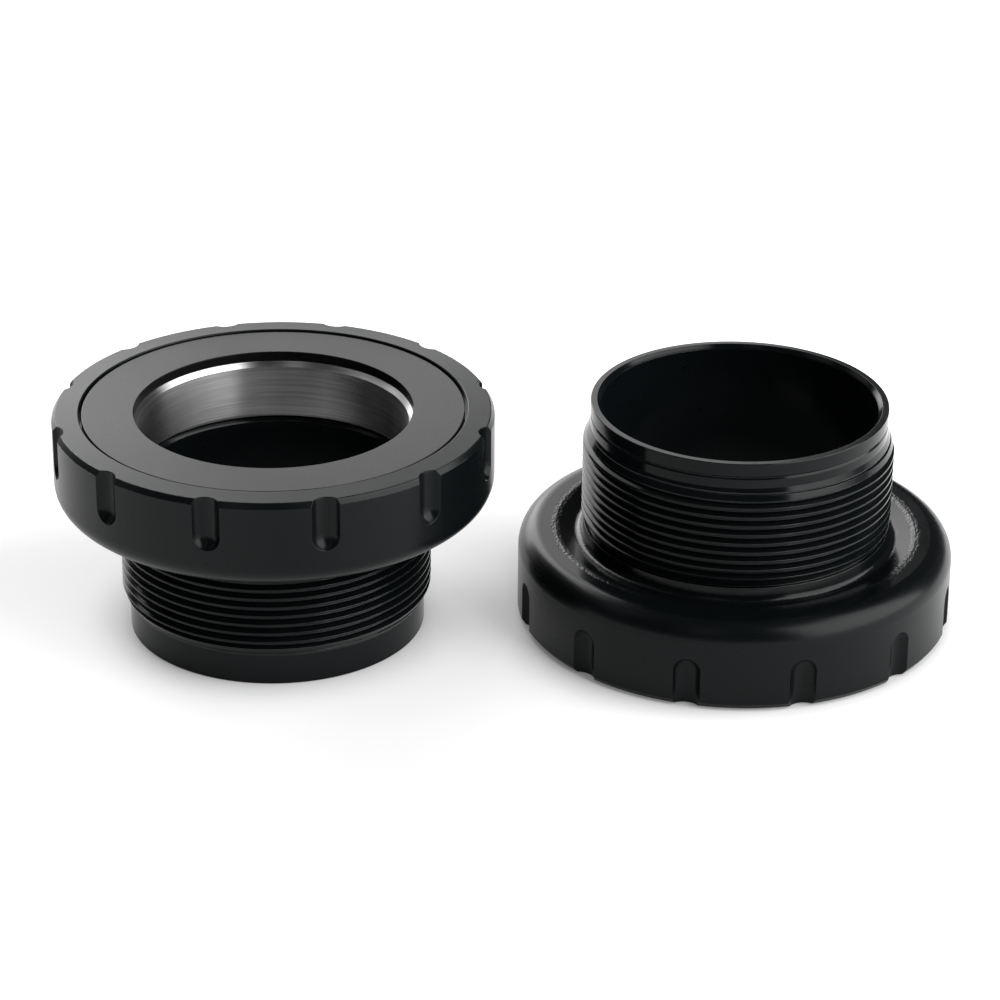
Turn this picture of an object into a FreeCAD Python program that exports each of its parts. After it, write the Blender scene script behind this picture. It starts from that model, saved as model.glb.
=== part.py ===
import FreeCAD, Part

import math
import os

# Pair of outboard bottom bracket cups for a 30 mm spindle in a 1.37 in x 24 tpi shell, in millimetres.
# The two cups lie loose beside each other on a flat surface: the left cup with its outboard face up,
# the right cup turned over, with its outboard face down and its thread up.
#
# Row frame: origin on the surface, under the middle of the pair's bounding box, +X from the left cup to
# the right cup, +Z up. Every piece of a cup is drawn in the cup's own frame: its axis is Z, depth 0 is the
# outboard face, and depth grows inboard, towards the middle of the bicycle. A section is drawn with
# (radius, depth) corners.

V = FreeCAD.Vector
ORIGIN = V(0, 0, 0)
AXIS = V(0, 0, 1)
CROSS_AXIS = V(1, 0, 0)

# Where the two cups lie
cup_spacing_x = 51.74
cup_spacing_y = 2.62

# Cup flange
cup_length = 25.86
flange_radius = 24.5
flange_depth = 10.26
flange_corner_round = 2.5
rim_outer_radius = 24.08
rim_crown = 0.15
rim_chamfer_end = 0.75
edge_round = 0.12
mouth_radius = 21.5
mouth_chamfer = 0.1

# Twelve wrench notches cut with a ball-nosed cutter
notch_count = 12
notch_cutter_radius = 1.7
notch_bottom_radius = 23.5
notch_length = 6.1
notch_edge_round = 0.07
notch_azimuth = {"left": -73.7, "right": -74.9}

# Dish turned into the flange's inboard face, and the flared base of the tube that rises from it
dish_radius = 20.3
dish_depth = 9.5
base_radius = 17.52
base_fillet = 0.7
base_end_radius = 17.15
base_end = 11.2

# Threaded tube
relief_radius = 16.7
neck_radius = 16.6
tube_bore_radius = 15.4
tube_end_chamfer = 0.47
tube_end_break = 0.08
lip_depth = 8.9
lip_chamfer = 0.35
seat_relief_radius = 19.4
seat_relief_depth = 0.3

# Thread 1.37 in x 24 tpi, with 60 degree flanks. The crest's depth is given at the front of the cup.
inch = 25.4
thread_radius = 17.4
thread_pitch = inch / 24
crest_width = 0.2
root_width = 0.1
thread_start = 12.3
thread_start_chamfer_depth = 0.35
thread_end = 20.96
thread_cone_end = {"left": 22.4, "right": 23.0}
crest_depth = {"left": 14.02, "right": 12.37}
left_hand_thread = {"left": False, "right": True}
thread_sectors = 8
sleeve_inner_radius = 16.1

# Line turned round the neck of the right cup, which marks its left-hand thread
marker_depth = 24.2
marker_width = 0.45
marker_groove = 0.12

# Deep groove ball bearing 30 x 42 x 7
bearing_depth = 1.25
bearing_width = 7.0
bearing_bore_radius = 15.0
bearing_outer_radius = 21.0
inner_land_radius = 16.9
outer_land_radius = 19.1
inner_bore_chamfer = 0.6
outer_corner_round = 0.3
ball_count = 18
ball_radius = 1.75
ball_pitch_radius = 18.0
race_groove_radius = 1.85
race_clearance = 0.05

# Rubber seals held in grooves of the outer ring, their lips just clear of the inner ring
seal_groove_radius = 19.7
seal_groove_start = 0.3
seal_groove_end = 1.15
seal_start = 0.35
seal_end = 1.1
seal_outer_radius = 19.65
seal_lip_radius = 17.0
seal_dish_radius = 17.7
seal_dish_outer_radius = 18.9
seal_dish = 0.12

# Snap-in crown cage, with one open pocket for each ball
cage_inner_radius = 17.3
cage_outer_radius = 18.7
cage_start = 1.5
cage_end = 4.6
pocket_radius = 1.8

# Dust cover, which lies on the inner ring and turns with it
cover_depth = 0.17
cover_thickness = 0.75
cover_radius = 21.2
cover_hole_radius = 15.46
cover_boss_radius = 16.8
cover_edge_round = 0.08

OVERRUN = 1.0


def section(*corners):
    """Face in the XZ half plane from (radius, depth) corners. A third number is the corner's rounding."""
    points = [V(corner[0], 0, corner[1]) for corner in corners]
    starts = []
    ends = []
    edges = []
    for i, corner in enumerate(corners):
        here = points[i]
        rounding = corner[2] if len(corner) > 2 else 0.0
        if not rounding:
            starts.append(here)
            ends.append(here)
            continue
        back = (points[i - 1] - here).normalize()
        ahead = (points[(i + 1) % len(points)] - here).normalize()
        half_angle = back.getAngle(ahead) / 2
        reach = rounding / math.tan(half_angle)
        inward = (back + ahead).normalize()
        middle = here + inward * (rounding / math.sin(half_angle) - rounding)
        starts.append(here + back * reach)
        ends.append(here + ahead * reach)
        edges.append(Part.Arc(starts[i], middle, ends[i]).toShape())
    for i, end in enumerate(ends):
        edges.append(Part.LineSegment(end, starts[(i + 1) % len(starts)]).toShape())
    return Part.Face(Part.Wire(Part.__sortEdges__(edges)))


def turned(face, angle=360.0):
    """Solid turned from a section about the cup's axis."""
    return face.revolve(ORIGIN, AXIS, angle)


def around(shape, azimuth):
    """Copy of a shape turned about the cup's axis."""
    copy = shape.copy()
    copy.rotate(ORIGIN, AXIS, azimuth)
    return copy


def flange_and_tube():
    """Turned cup without its thread and notches."""
    seat_end = bearing_depth + bearing_width
    relief_end = seat_end + seat_relief_depth
    outline = section(
        (rim_outer_radius, rim_crown, edge_round),
        (flange_radius, rim_chamfer_end, edge_round),
        (flange_radius, flange_depth, flange_corner_round),
        (dish_radius, flange_depth),
        (base_radius, dish_depth, base_fillet),
        (base_end_radius, base_end),
        (relief_radius, base_end),
        (relief_radius, thread_start),
        (neck_radius, thread_start),
        (neck_radius, cup_length - tube_end_break),
        (neck_radius - tube_end_break, cup_length),
        (tube_bore_radius + tube_end_chamfer, cup_length),
        (tube_bore_radius, cup_length - tube_end_chamfer),
        (tube_bore_radius, lip_depth),
        (tube_bore_radius + lip_chamfer, relief_end),
        (seat_relief_radius, relief_end),
        (seat_relief_radius, seat_end),
        (bearing_outer_radius, seat_end),
        (bearing_outer_radius, bearing_depth),
        (mouth_radius, bearing_depth),
        (mouth_radius, mouth_chamfer),
        (mouth_radius + mouth_chamfer, 0.0),
    )
    return turned(outline)


def notch_cutter():
    """Ball-nosed cutter standing on the rim, clear of the cup's axis."""
    straight_end = notch_length - notch_cutter_radius
    side = V(notch_cutter_radius, 0, straight_end)
    middle_reach = notch_cutter_radius * math.sqrt(0.5)
    middle = V(middle_reach, 0, straight_end + middle_reach)
    tip = V(0, 0, notch_length)
    top = V(notch_cutter_radius, 0, -OVERRUN)
    centre = V(0, 0, -OVERRUN)
    edges = [
        Part.LineSegment(centre, top).toShape(),
        Part.LineSegment(top, side).toShape(),
        Part.Arc(side, middle, tip).toShape(),
        Part.LineSegment(tip, centre).toShape(),
    ]
    cutter = turned(Part.Face(Part.Wire(edges)))
    cutter.translate(V(notch_bottom_radius + notch_cutter_radius, 0, 0))
    return cutter


def is_notch_edge(edge, faces_of_edge):
    """True for an edge where a notch meets the rim, the chamfer or the outside of the flange."""
    far_from_axis = notch_bottom_radius / 2
    on_notch = 0
    for face in faces_of_edge:
        surface = face.Surface
        if isinstance(surface, Part.Sphere):
            on_notch += 1
        elif isinstance(surface, Part.Cylinder):
            if math.hypot(surface.Center.x, surface.Center.y) > far_from_axis:
                on_notch += 1
    return len(faces_of_edge) == 2 and on_notch == 1


def notched(cup, first_azimuth):
    """Cut the notches, then break their edges."""
    cutter = notch_cutter()
    step = 360.0 / notch_count
    cut = cup.cut([around(cutter, first_azimuth + i * step) for i in range(notch_count)])
    edges = [edge for edge in cut.Edges if is_notch_edge(edge, cut.ancestorsOfType(edge, Part.Face))]
    return cut.makeFillet(notch_edge_round, edges)


def thread_groove(side):
    """Helical cutter for the thread, wider than the thread at both ends."""
    slope = math.tan(math.radians(30))
    groove_width = thread_pitch - crest_width
    depth = (groove_width - root_width) / 2 / slope
    proud = 0.12
    inner = thread_radius - depth
    outer = thread_radius + proud
    half_root = root_width / 2
    half_mouth = groove_width / 2 + proud * slope
    corners = [
        V(inner, 0, -half_root),
        V(outer, 0, -half_mouth),
        V(outer, 0, half_mouth),
        V(inner, 0, half_root),
    ]
    profile = Part.makePolygon(corners + corners[:1])
    crest = crest_depth[side]
    turns_below = math.ceil((crest - thread_start) / thread_pitch) + 1
    start = crest + thread_pitch / 2 - turns_below * thread_pitch
    length = thread_cone_end[side] + thread_pitch - start
    path = Part.makeLongHelix(thread_pitch, length, thread_radius, 0, left_hand_thread[side])
    cutter = Part.Wire(path.Edges).makePipeShell([profile], True, True)
    cutter.translate(V(0, 0, start))
    front = {"left": 90.0, "right": -90.0}[side]
    return around(cutter, front)


def thread_sleeve(side):
    """Threaded sleeve, built from equal sectors, that is joined to the tube."""
    cone_slope = (thread_cone_end[side] - thread_end) / (thread_radius - neck_radius)
    wall = thread_radius - sleeve_inner_radius
    chamfer_slope = thread_start_chamfer_depth / (thread_radius - neck_radius)
    outline = section(
        (sleeve_inner_radius, thread_start - wall * chamfer_slope),
        (thread_radius, thread_start),
        (thread_radius, thread_end),
        (sleeve_inner_radius, thread_end + wall * cone_slope),
    )
    span = 360.0 / thread_sectors
    sector = turned(outline, span)
    sleeve = sector.fuse([around(sector, i * span) for i in range(1, thread_sectors)])
    return sleeve.cut(thread_groove(side))


def marker_cutter():
    """Cutter for a small V groove, which reaches as far outside the neck as into it."""
    outer = neck_radius + marker_groove
    outline = section(
        (neck_radius - marker_groove, marker_depth),
        (outer, marker_depth - marker_width),
        (outer, marker_depth + marker_width),
    )
    return turned(outline)


def notch_azimuth_in_cup(side):
    """First notch's azimuth in the cup's own frame. The left cup is turned over about X to lie face up."""
    azimuth = notch_azimuth[side]
    return -azimuth if side == "left" else azimuth


def make_cup(side):
    """Aluminium cup with flange, notches, bearing seat and threaded tube."""
    body = notched(flange_and_tube(), notch_azimuth_in_cup(side))
    if left_hand_thread[side]:
        body = body.cut(marker_cutter())
    return body.fuse(thread_sleeve(side))


def race(pitch_radius, groove_radius):
    """Ring with a round section, which cuts a ball race."""
    ring = Part.makeTorus(pitch_radius, groove_radius)
    ring.translate(V(0, 0, bearing_depth + bearing_width / 2))
    return ring


def make_inner_ring():
    near = bearing_depth
    far = bearing_depth + bearing_width
    outline = section(
        (inner_land_radius, near),
        (inner_land_radius, far),
        (bearing_bore_radius + inner_bore_chamfer, far),
        (bearing_bore_radius, far - inner_bore_chamfer),
        (bearing_bore_radius, near + inner_bore_chamfer),
        (bearing_bore_radius + inner_bore_chamfer, near),
    )
    pitch = ball_pitch_radius + race_groove_radius - ball_radius - race_clearance
    return turned(outline).cut(race(pitch, race_groove_radius))


def make_outer_ring():
    near = bearing_depth
    far = bearing_depth + bearing_width
    outline = section(
        (bearing_outer_radius, near, outer_corner_round),
        (bearing_outer_radius, far, outer_corner_round),
        (outer_land_radius, far),
        (outer_land_radius, far - seal_groove_start),
        (seal_groove_radius, far - seal_groove_start),
        (seal_groove_radius, far - seal_groove_end),
        (outer_land_radius, far - seal_groove_end),
        (outer_land_radius, near + seal_groove_end),
        (seal_groove_radius, near + seal_groove_end),
        (seal_groove_radius, near + seal_groove_start),
        (outer_land_radius, near + seal_groove_start),
        (outer_land_radius, near),
    )
    pitch = ball_pitch_radius - race_groove_radius + ball_radius + race_clearance
    return turned(outline).cut(race(pitch, race_groove_radius))


def make_seal(inboard):
    """Moulded rubber seal with a shallow dished web between its rim and its lip."""
    if inboard:
        outer_face = bearing_depth + bearing_width - seal_start
        inner_face = bearing_depth + bearing_width - seal_end
        dish = -seal_dish
    else:
        outer_face = bearing_depth + seal_start
        inner_face = bearing_depth + seal_end
        dish = seal_dish
    outline = section(
        (seal_lip_radius, outer_face),
        (seal_dish_radius, outer_face),
        (seal_dish_radius + seal_dish, outer_face + dish),
        (seal_dish_outer_radius - seal_dish, outer_face + dish),
        (seal_dish_outer_radius, outer_face),
        (seal_outer_radius, outer_face),
        (seal_outer_radius, inner_face),
        (seal_lip_radius, inner_face),
    )
    return turned(outline)


def ball_centre(i):
    angle = math.radians(i * 360.0 / ball_count)
    middle = bearing_depth + bearing_width / 2
    return V(ball_pitch_radius * math.cos(angle), ball_pitch_radius * math.sin(angle), middle)


def make_ball(i):
    return Part.makeSphere(ball_radius, ball_centre(i))


def make_cage():
    """Ring with a pocket for each ball, open on the side where the balls snap in."""
    near = bearing_depth + cage_start
    far = bearing_depth + cage_end
    outline = section(
        (cage_inner_radius, near),
        (cage_outer_radius, near),
        (cage_outer_radius, far),
        (cage_inner_radius, far),
    )
    pockets = [Part.makeSphere(pocket_radius, ball_centre(i)) for i in range(ball_count)]
    return turned(outline).cut(pockets)


def make_dust_cover():
    """Thin washer with a low boss that lies on the bearing's inner ring."""
    underside = cover_depth + cover_thickness
    outline = section(
        (cover_hole_radius, cover_depth, cover_edge_round),
        (cover_radius, cover_depth, cover_edge_round),
        (cover_radius, underside),
        (cover_boss_radius, underside),
        (cover_boss_radius, bearing_depth),
        (cover_hole_radius, bearing_depth),
    )
    return turned(outline)


def place(shape, side):
    """Move a piece from the cup's own frame to where its cup lies."""
    placed = shape.copy()
    if side == "left":
        placed.rotate(ORIGIN, CROSS_AXIS, 180.0)
        placed.translate(V(-cup_spacing_x / 2, -cup_spacing_y / 2, cup_length))
    else:
        placed.translate(V(cup_spacing_x / 2, cup_spacing_y / 2, 0))
    return placed


def pieces(side):
    """Every piece of one cup, in the cup's own frame."""
    made = {
        "cup": make_cup(side),
        "dust_cover": make_dust_cover(),
        "bearing_inner_ring": make_inner_ring(),
        "bearing_outer_ring": make_outer_ring(),
        "ball_cage": make_cage(),
        "outboard_seal": make_seal(False),
        "inboard_seal": make_seal(True),
    }
    for i in range(ball_count):
        made[f"ball_{i + 1:02d}"] = make_ball(i)
    return made


def solid_of(shape, name):
    """The one solid a piece is made of."""
    if len(shape.Solids) != 1 or not shape.isValid():
        raise ValueError(f"{name} has {len(shape.Solids)} solids, valid {shape.isValid()}")
    return shape.Solids[0]


def main():
    os.makedirs("parts", exist_ok=True)
    for side in ("left", "right"):
        for piece, shape in pieces(side).items():
            name = f"{side}_{piece}"
            solid_of(place(shape, side), name).exportStep(f"parts/{name}.step")


main()
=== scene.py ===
import math

import bpy
from mathutils import Matrix, Vector


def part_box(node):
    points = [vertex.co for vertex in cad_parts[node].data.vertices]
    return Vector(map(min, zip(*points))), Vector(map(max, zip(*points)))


# Looks for the pair of bottom bracket cups: procedural materials for the CAD nodes, a pale floor, soft
# studio light and the camera. Lengths are in metres, in the frame of the CAD model.

MM = 0.001
SIDES = ("left", "right")

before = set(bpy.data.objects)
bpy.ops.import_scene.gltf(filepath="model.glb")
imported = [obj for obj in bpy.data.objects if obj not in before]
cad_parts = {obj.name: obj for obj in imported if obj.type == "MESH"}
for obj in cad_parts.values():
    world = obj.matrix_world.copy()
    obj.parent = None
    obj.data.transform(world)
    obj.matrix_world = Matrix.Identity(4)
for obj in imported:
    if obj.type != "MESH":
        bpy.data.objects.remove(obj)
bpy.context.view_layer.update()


def cup_axis(side):
    """Point where a cup's axis meets the floor, from the middle of the cup's box."""
    low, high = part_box(f"{side}_cup")
    middle = (low + high) / 2
    return Vector((middle.x, middle.y, 0.0))


class Graph:
    """A shader node tree, with short ways to add nodes and join them."""

    def __init__(self, tree):
        self.tree = tree
        tree.nodes.clear()

    def feed(self, socket, value):
        if isinstance(value, bpy.types.NodeSocket):
            self.tree.links.new(value, socket)
        else:
            socket.default_value = value

    def node(self, kind, inputs=None, **attributes):
        made = self.tree.nodes.new("ShaderNode" + kind)
        for name, value in attributes.items():
            setattr(made, name, value)
        for key, value in (inputs or {}).items():
            self.feed(made.inputs[key], value)
        return made

    def math(self, operation, a, b=0.0):
        return self.node("Math", {0: a, 1: b}, operation=operation).outputs[0]

    def vector(self, x, y, z):
        return self.node("CombineXYZ", {"X": x, "Y": y, "Z": z}).outputs[0]

    def step(self, value, low, high, to_low=0.0, to_high=1.0):
        """Smooth step from to_low to to_high as value goes from low to high."""
        inputs = {"Value": value, "From Min": low, "From Max": high, "To Min": to_low, "To Max": to_high}
        return self.node("MapRange", inputs, interpolation_type="SMOOTHSTEP").outputs[0]

    def noise(self, vector, scale, detail=2.0, roughness=0.5, w=None):
        inputs = {"Vector": vector, "Scale": scale, "Detail": detail, "Roughness": roughness}
        if w is None:
            return self.node("TexNoise", inputs, noise_dimensions="3D").outputs[0]
        inputs["W"] = w
        return self.node("TexNoise", inputs, noise_dimensions="4D").outputs[0]

    def blend(self, factor, first, second):
        """Mix two colours."""
        made = self.node("Mix", data_type="RGBA")
        self.feed(made.inputs["Factor"], factor)
        self.feed(made.inputs[6], first)
        self.feed(made.inputs[7], second)
        return made.outputs[2]

    def bump(self, height, distance, normal=None):
        inputs = {"Height": height, "Distance": distance, "Strength": 1.0}
        if normal is not None:
            inputs["Normal"] = normal
        return self.node("Bump", inputs).outputs[0]


def grey(level):
    return (level, level, level, 1.0)


def new_material(name):
    material = bpy.data.materials.new(name)
    material.use_nodes = True
    return material, Graph(material.node_tree)


def finish_surface(graph, **inputs):
    """End a material in a Principled shader. An input's name has _ for each space."""
    named = {key.replace("_", " "): value for key, value in inputs.items()}
    shader = graph.node("BsdfPrincipled", named)
    graph.node("OutputMaterial", {"Surface": shader.outputs[0]})


def lathe_space(graph, side):
    """Position, radius, height, and cosine and sine of azimuth about the cup's axis."""
    position = graph.node("TexCoord").outputs["Object"]
    local = graph.node("VectorMath", {0: position, 1: cup_axis(side)}, operation="SUBTRACT").outputs[0]
    split = graph.node("SeparateXYZ", {0: local}).outputs
    x_squared = graph.math("MULTIPLY", split[0], split[0])
    y_squared = graph.math("MULTIPLY", split[1], split[1])
    radius = graph.math("SQRT", graph.math("ADD", x_squared, y_squared))
    cosine = graph.math("DIVIDE", split[0], radius)
    sine = graph.math("DIVIDE", split[1], radius)
    return local, radius, split[2], cosine, sine


def round_axis(graph):
    """Direction round the piece's own axis, along which turning and grinding marks run."""
    return graph.node("Tangent", direction_type="RADIAL", axis="Z").outputs[0]


def turning_marks(graph, space, spacing, stretch, detail=3.0):
    """Noise that is fine across the cut, at the given spacing, and long around the axis, as a lathe leaves it."""
    local, radius, height, cosine, sine = space
    across = 1 / spacing
    vector = graph.vector(
        graph.math("MULTIPLY", radius, across),
        graph.math("MULTIPLY", height, across),
        graph.math("MULTIPLY", cosine, stretch),
    )
    return graph.noise(vector, 1.0, detail, 0.6, graph.math("MULTIPLY", sine, stretch))


def edge_mask(graph, radius):
    """Rounded normal near edges, and a mask that is 1 on an edge."""
    rounded = graph.node("Bevel", {"Radius": radius}, samples=6).outputs[0]
    true_normal = graph.node("NewGeometry").outputs["Normal"]
    agreement = graph.node("VectorMath", {0: rounded, 1: true_normal}, operation="DOT_PRODUCT").outputs["Value"]
    return rounded, graph.step(agreement, 0.995, 0.85)


# Where the cup's finish changes: radii, and depths in from the outboard face
BORE_RADIUS = 15.4 * MM
BASE_RADIUS = 17.9 * MM
DISH_RADIUS = 20.3 * MM
SATIN_START = 22.0 * MM
SATIN_FULL = 23.5 * MM
FACE_DEPTH = 0.5 * MM
LIP_DEPTH = 9.0 * MM
DISH_DEPTH = 9.9 * MM

# Grainy bands: their size, how far their edges wander, and how grainy the one at the tube's base is
BAND_HALF_WIDTH = 0.6 * MM
BAND_HALF_DEPTH = 0.8 * MM
BAND_WANDER = 0.25 * MM
BASE_STRENGTH = 0.28

# Anodised skin. The index is below that of solid oxide, which sets the gloss as low as the real skin's.
SKIN_INDEX = 1.235
BLACK_LOW = (0.0018, 0.0026, 0.003, 1.0)
BLACK_HIGH = (0.0028, 0.0038, 0.0042, 1.0)
SPECK_GREY = 0.001
SPECK_RANGE = (0.72, 0.78)
SPECK_DEPTH = -0.004 * MM

# The marks of turning and grinding run round, so the highlight spreads across them
ACROSS_MARKS = 0.25


def outboard_depth(graph, side, space):
    """Distance in from the cup's outboard face, which is up on the left cup and on the floor on the right."""
    low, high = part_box(f"{side}_cup")
    if side == "left":
        return graph.math("SUBTRACT", high.z - low.z, space[2])
    return space[2]


def blasted_bands(graph, side, space):
    """Mask of the two grainy bands of the dish in the flange's inboard face: at its rim and at the tube."""
    depth = outboard_depth(graph, side, space)
    off = graph.math("ABSOLUTE", graph.math("SUBTRACT", depth, DISH_DEPTH))
    level = graph.step(off, BAND_HALF_DEPTH, 0.8 * BAND_HALF_DEPTH)
    wander = graph.math("MULTIPLY", graph.noise(space[0], 700.0, 3.0), 2 * BAND_WANDER)
    radius = graph.math("ADD", space[1], graph.math("SUBTRACT", wander, BAND_WANDER))
    mask = 0.0
    for middle, strength in ((BASE_RADIUS, BASE_STRENGTH), (DISH_RADIUS, 1.0)):
        off = graph.math("ABSOLUTE", graph.math("SUBTRACT", radius, middle))
        band = graph.step(off, BAND_HALF_WIDTH, 0.4 * BAND_HALF_WIDTH, 0.0, strength)
        mask = graph.math("ADD", mask, band)
    return graph.math("MULTIPLY", mask, level)


def anodised_black(side):
    """Turned aluminium with a black anodised skin, satin outside and glossier where it was faced or threaded."""
    material, graph = new_material(f"anodised_black_{side}")
    space = lathe_space(graph, side)
    local, radius = space[:2]
    depth = outboard_depth(graph, side, space)

    # Masks of the surface
    rounded, edge = edge_mask(graph, 0.05 * MM)
    patches = graph.noise(local, 90.0, 3.0)
    # Edge mask, partly wear and partly a painted highlight: lighter colour and a higher index on edges
    worn_and_glint = graph.math("MULTIPLY", edge, graph.step(patches, 0.35, 0.65, 0.3, 1.0))
    specks = graph.step(graph.noise(local, 1500.0, 1.0), *SPECK_RANGE)
    face = graph.step(depth, FACE_DEPTH, 0.4 * FACE_DEPTH)
    satin = graph.step(radius, SATIN_START, SATIN_FULL)
    satin = graph.math("MAXIMUM", satin, graph.math("MULTIPLY", face, 1.4))
    blasted = blasted_bands(graph, side, space)
    off_lip = graph.math("ABSOLUTE", graph.math("SUBTRACT", depth, LIP_DEPTH))
    lip = graph.step(off_lip, 0.7 * MM, 0.4 * MM)
    inside = graph.step(radius, BORE_RADIUS + 0.2 * MM, BORE_RADIUS + 0.05 * MM)
    inside = graph.math("MULTIPLY", inside, graph.math("SUBTRACT", 1.0, lip))

    # Colour, darker in specks, and lighter on edges, partly wear and partly a painted highlight
    skin = graph.blend(patches, BLACK_LOW, BLACK_HIGH)
    skin = graph.blend(specks, skin, grey(SPECK_GREY))
    colour = graph.blend(worn_and_glint, skin, grey(0.07))

    # Gloss
    marks = turning_marks(graph, space, 0.12 * MM, 1.2)
    roughness = graph.step(patches, 0.3, 0.7, 0.1, 0.14)
    for mask, more in ((marks, 0.04), (satin, 0.14), (blasted, 0.08)):
        roughness = graph.math("ADD", roughness, graph.math("MULTIPLY", mask, more))
    index = SKIN_INDEX
    for mask, more in ((worn_and_glint, 0.5), (face, 0.02), (blasted, 0.1), (inside, -0.1)):
        index = graph.math("ADD", index, graph.math("MULTIPLY", mask, more))

    # Relief
    fine_grain = graph.noise(local, 5200.0, 2.0)
    satin_grain = graph.math("SUBTRACT", graph.noise(local, 6500.0, 2.0, 0.6), 0.5)
    grit = graph.math("SUBTRACT", graph.noise(local, 2600.0, 2.0, 0.6), 0.5)
    normal = graph.bump(marks, 0.0004 * MM, rounded)
    normal = graph.bump(fine_grain, 0.0004 * MM, normal)
    normal = graph.bump(graph.math("MULTIPLY", grit, blasted), 0.13 * MM, normal)
    normal = graph.bump(graph.math("MULTIPLY", satin_grain, satin), 0.0015 * MM, normal)
    normal = graph.bump(specks, SPECK_DEPTH, normal)
    finish_surface(graph, Base_Color=colour, Roughness=roughness, IOR=index, Anisotropic=0.5,
                   Anisotropic_Rotation=ACROSS_MARKS, Tangent=round_axis(graph), Normal=normal)
    return material


def cover_black(side):
    """Thin anodised washer, with a finer face than the cup's."""
    material, graph = new_material(f"cover_black_{side}")
    space = lathe_space(graph, side)
    local = space[0]
    marks = turning_marks(graph, space, 0.2 * MM, 1.0)
    patches = graph.noise(local, 70.0, 3.0)
    grain = graph.noise(local, 6000.0, 2.0)
    specks = graph.step(graph.noise(local, 1300.0, 1.0), *SPECK_RANGE)
    rounded, edge = edge_mask(graph, 0.07 * MM)
    skin = graph.blend(specks, grey(0.0035), grey(SPECK_GREY))
    # Painted highlight: edges lighter than the skin
    colour = graph.blend(edge, skin, grey(0.04))
    roughness = graph.step(patches, 0.3, 0.7, 0.24, 0.29)
    roughness = graph.math("ADD", roughness, graph.math("MULTIPLY", marks, 0.04))
    normal = graph.bump(marks, 0.0005 * MM, rounded)
    normal = graph.bump(grain, 0.0004 * MM, normal)
    normal = graph.bump(specks, SPECK_DEPTH, normal)
    finish_surface(graph, Base_Color=colour, Roughness=roughness, IOR=SKIN_INDEX, Anisotropic=0.5,
                   Anisotropic_Rotation=ACROSS_MARKS, Tangent=round_axis(graph), Normal=normal)
    return material


def bearing_steel(side):
    """Ground bearing steel with fine scratches that run round the ring."""
    material, graph = new_material(f"bearing_steel_{side}")
    space = lathe_space(graph, side)
    fine = turning_marks(graph, space, 0.05 * MM, 1.5, 4.0)
    coarse = turning_marks(graph, space, 0.2 * MM, 1.5, 2.0)
    patches = graph.noise(space[0], 120.0, 3.0)
    rounded = edge_mask(graph, 0.05 * MM)[0]
    streaks = graph.math("ADD", graph.math("MULTIPLY", coarse, 0.6), graph.math("MULTIPLY", fine, 0.4))
    colour = graph.blend(graph.step(streaks, 0.35, 0.65), grey(0.38), grey(0.58))
    roughness = graph.step(patches, 0.3, 0.7, 0.24, 0.29)
    roughness = graph.math("ADD", roughness, graph.math("MULTIPLY", fine, 0.08))
    normal = graph.bump(fine, 0.0006 * MM, rounded)
    normal = graph.bump(coarse, 0.0005 * MM, normal)
    finish_surface(graph, Base_Color=colour, Metallic=1.0, Roughness=roughness, Anisotropic=0.9,
                   Anisotropic_Rotation=ACROSS_MARKS, Tangent=round_axis(graph), Normal=normal)
    return material


def ball_steel():
    """Polished steel ball, with the faint rolled bands that running leaves."""
    material, graph = new_material("ball_steel")
    position = graph.node("TexCoord").outputs["Object"]
    cloud = graph.noise(position, 900.0, 3.0)
    colour = graph.blend(cloud, grey(0.58), grey(0.66))
    roughness = graph.step(cloud, 0.3, 0.7, 0.05, 0.12)
    normal = graph.bump(cloud, 0.0004 * MM)
    finish_surface(graph, Base_Color=colour, Metallic=1.0, Roughness=roughness, Normal=normal)
    return material


def seal_rubber():
    """Matt nitrile rubber with a moulded skin."""
    material, graph = new_material("seal_rubber")
    position = graph.node("TexCoord").outputs["Object"]
    grain = graph.noise(position, 4000.0, 3.0)
    dust = graph.noise(position, 500.0, 3.0)
    colour = graph.blend(dust, grey(0.008), grey(0.02))
    roughness = graph.step(dust, 0.3, 0.7, 0.55, 0.75)
    normal = graph.bump(grain, 0.003 * MM)
    finish_surface(graph, Base_Color=colour, Roughness=roughness, Normal=normal)
    return material


def cage_plastic():
    """Moulded nylon, off-white and slightly translucent."""
    material, graph = new_material("cage_plastic")
    position = graph.node("TexCoord").outputs["Object"]
    grain = graph.noise(position, 3000.0, 3.0)
    tone = graph.noise(position, 300.0, 2.0)
    colour = graph.blend(tone, (0.62, 0.58, 0.46, 1.0), (0.72, 0.69, 0.58, 1.0))
    roughness = graph.step(tone, 0.3, 0.7, 0.38, 0.5)
    normal = graph.bump(grain, 0.002 * MM)
    finish_surface(graph, Base_Color=colour, Roughness=roughness, Subsurface_Weight=0.15, Normal=normal)
    return material


def dress(node, material):
    """Give a CAD node its material."""
    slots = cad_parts[node].material_slots
    for slot in slots:
        slot.material = material
    if not slots:
        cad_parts[node].data.materials.append(material)


def dress_cups():
    balls = ball_steel()
    rubber = seal_rubber()
    cage = cage_plastic()
    for side in SIDES:
        steel = bearing_steel(side)
        dress(f"{side}_cup", anodised_black(side))
        dress(f"{side}_dust_cover", cover_black(side))
        dress(f"{side}_bearing_inner_ring", steel)
        dress(f"{side}_bearing_outer_ring", steel)
        dress(f"{side}_outboard_seal", rubber)
        dress(f"{side}_inboard_seal", rubber)
        dress(f"{side}_ball_cage", cage)
        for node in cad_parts:
            if node.startswith(f"{side}_ball_") and node != f"{side}_ball_cage":
                dress(node, balls)


# Floor, a hair below the cups so that no two faces lie in one plane
FLOOR_HALF = 15.0
FLOOR_LEVEL = -0.01 * MM
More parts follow.
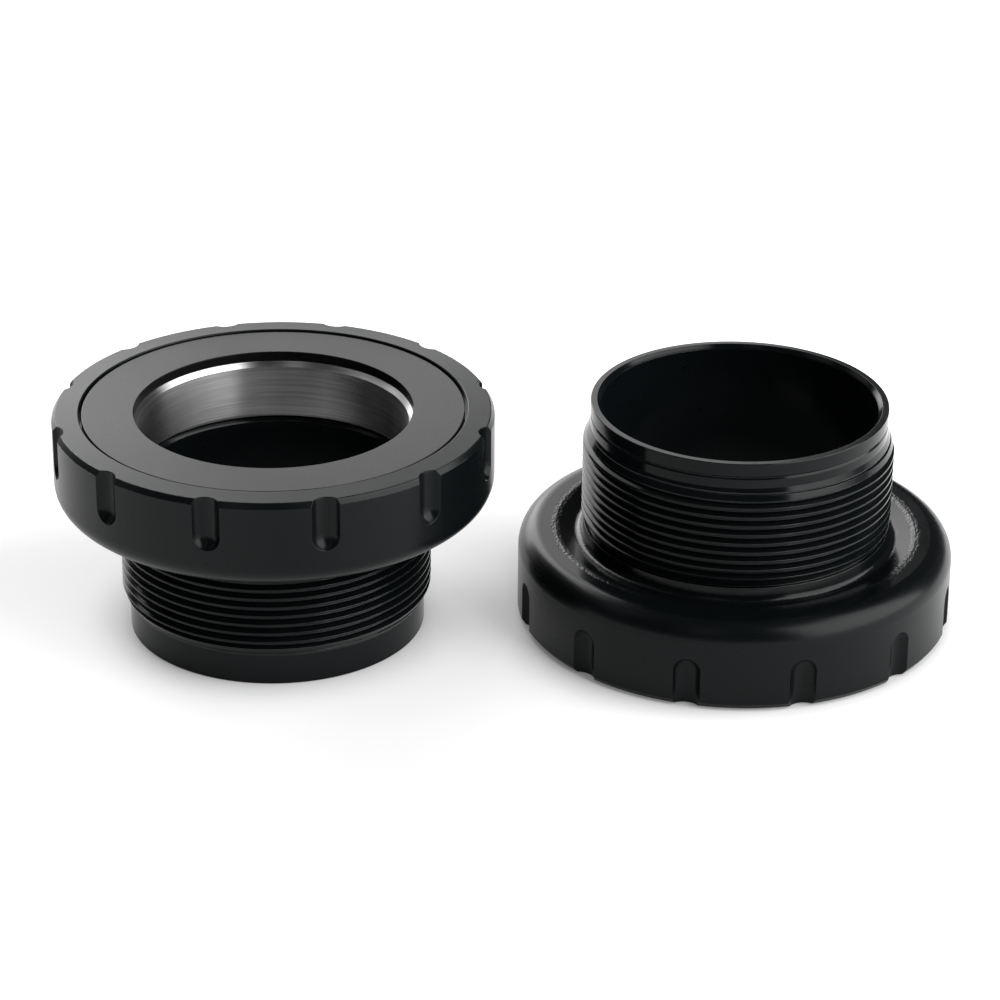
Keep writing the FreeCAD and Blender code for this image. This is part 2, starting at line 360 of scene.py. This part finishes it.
# Painted light: the floor glows in place of being lit, brightest to the right where the main light falls. The
# level on the left, and each further rise along x, y or the distance from the middle, as (measure, from, to,
# rise), in mm
PAINTED_LIGHT_LEFT = 0.45
PAINTED_LIGHT_RISES = [
    ("x", -20.0, 120.0, 0.8),
    ("x", -10.0, -60.0, 0.2),
    ("y", -15.0, -45.0, 0.05),
    ("distance", 60.0, 200.0, 0.35),
    ("y", 10.0, 80.0, 0.3),
]
# Painted shadow: near a cup between a point and the main light, the glow falls to a share of itself
MAIN_LIGHT = Vector((0.85, 0.15, 0.5)).normalized()
SHADE_REACH = 11 * MM
SHADE_LEFT = 0.25


def add_floor():
    """Wide pale floor, whose glow is painted light, with a painted shadow beside the cups."""
    half, level = FLOOR_HALF, FLOOR_LEVEL
    corners = [(-half, -half, level), (half, -half, level), (half, half, level), (-half, half, level)]
    mesh = bpy.data.meshes.new("floor")
    mesh.from_pydata(corners, [], [(0, 1, 2, 3)])
    floor = bpy.data.objects.new("floor", mesh)
    bpy.context.scene.collection.objects.link(floor)
    material, graph = new_material("floor")
    position = graph.node("TexCoord").outputs["Object"]
    colour = graph.blend(graph.noise(position, 3.0, 2.0), grey(0.495), grey(0.505))
    split = graph.node("SeparateXYZ", {0: position}).outputs
    distance = graph.node("VectorMath", {0: position}, operation="LENGTH").outputs["Value"]
    measures = {"x": split[0], "y": split[1], "distance": distance}
    # Painted light: the glow rises towards the right, the back and the far floor, as the main light would light
    # it
    painted_glow = PAINTED_LIGHT_LEFT
    for measure, start, end, rise in PAINTED_LIGHT_RISES:
        painted_glow = graph.math("ADD", painted_glow, graph.step(measures[measure], start * MM, end * MM, 0.0, rise))
    # Painted shadow: the glow drops where a cup hides the main light
    painted_shadow_ao = graph.node("AmbientOcclusion", {"Distance": SHADE_REACH, "Normal": MAIN_LIGHT}, samples=12)
    painted_glow = graph.math("MULTIPLY", painted_glow, graph.step(painted_shadow_ao.outputs["AO"], 0.35, 0.85, SHADE_LEFT, 1.0))
    finish_surface(graph, Base_Color=colour, Roughness=0.9, Specular_IOR_Level=0.1,
                   Emission_Color=grey(1.0), Emission_Strength=painted_glow)
    mesh.materials.append(material)


# Plain dome: brightness of the walls, and of the ceiling above an elevation in degrees
ROOM_LEVEL = 0.07
CEILING_LEVEL = 0.12
ROOM_TOP = 60.0
# Studio lights as patches of the dome: azimuth from the back of the scene, positive to the right, and elevation
# of the middle, half width and half height, soft edge, all in degrees, and brightness, which is negative for a
# black flag that darkens the wall
SOFT_BOXES = [
    ("back", -16.4, 26.0, 21.4, 24.0, 0.5, 2.3),
    ("back_left", -22.0, 27.0, 13.0, 20.0, 12.0, 3.1),
    ("upper_left", -42.0, 44.0, 12.0, 12.0, 4.0, 2.5),
    ("right", 108.0, 34.5, 37.0, 28.5, 6.0, 5.5),
    ("left_strip", -56.0, 28.0, 9.0, 18.0, 4.0, 0.45),
    ("left_box", -90.0, 42.0, 11.0, 22.0, 6.0, 0.45),
    ("front_strip", -160.0, 50.0, 9.0, 18.0, 6.0, 0.4),
    ("front_flag", 166.0, 42.0, 13.0, 34.0, 8.0, -0.06),
]


def add_light():
    """Soft box patches on a plain dome."""
    world = bpy.data.worlds.new("studio")
    bpy.context.scene.world = world
    world.use_nodes = True
    graph = Graph(world.node_tree)
    direction = graph.node("TexCoord").outputs["Generated"]
    split = graph.node("SeparateXYZ", {0: direction}).outputs
    azimuth = graph.math("DEGREES", graph.math("ARCTAN2", split[0], split[1]))
    elevation = graph.math("DEGREES", graph.math("ARCSINE", split[2]))
    level = graph.step(elevation, ROOM_TOP - 10.0, ROOM_TOP + 10.0, ROOM_LEVEL, CEILING_LEVEL)
    for _, azimuth_0, elevation_0, half_width, half_height, soft, brightness in SOFT_BOXES:
        across = graph.math("ABSOLUTE", graph.math("SUBTRACT", azimuth, azimuth_0))
        up = graph.math("ABSOLUTE", graph.math("SUBTRACT", elevation, elevation_0))
        inside = graph.math(
            "MULTIPLY",
            graph.step(across, half_width - soft / 2, half_width + soft / 2, 1.0, 0.0),
            graph.step(up, half_height - soft / 2, half_height + soft / 2, 1.0, 0.0),
        )
        level = graph.math("ADD", level, graph.math("MULTIPLY", inside, brightness))
    background = graph.node("Background", {"Color": grey(1.0), "Strength": level})
    graph.node("OutputWorld", {"Surface": background.outputs[0]})


# Angles in radians, lens and sensor in millimetres
CAMERA_POSITION = Vector((-0.73, -368.75, 193.84)) * MM
CAMERA_PITCH = 0.4539
CAMERA_ROLL = 0.0084
CAMERA_LENS = 131.43
SENSOR_WIDTH = 36.0


def add_camera():
    """Long lens a little above the cups, looking along +Y and down."""
    data = bpy.data.cameras.new("camera")
    data.lens = CAMERA_LENS
    data.sensor_width = SENSOR_WIDTH
    data.clip_start = 0.01
    data.clip_end = 20.0
    camera = bpy.data.objects.new("camera", data)
    bpy.context.scene.collection.objects.link(camera)
    forward = Vector((0.0, math.cos(CAMERA_PITCH), -math.sin(CAMERA_PITCH)))
    level_right = Vector((1.0, 0.0, 0.0))
    level_up = level_right.cross(forward)
    right = math.cos(CAMERA_ROLL) * level_right + math.sin(CAMERA_ROLL) * level_up
    up = math.cos(CAMERA_ROLL) * level_up - math.sin(CAMERA_ROLL) * level_right
    turn = Matrix((right, up, -forward)).transposed()
    camera.matrix_world = Matrix.Translation(CAMERA_POSITION) @ turn.to_4x4()
    bpy.context.scene.camera = camera


dress_cups()
add_floor()
add_light()
add_camera()
bpy.context.scene.view_settings.view_transform = "Standard"
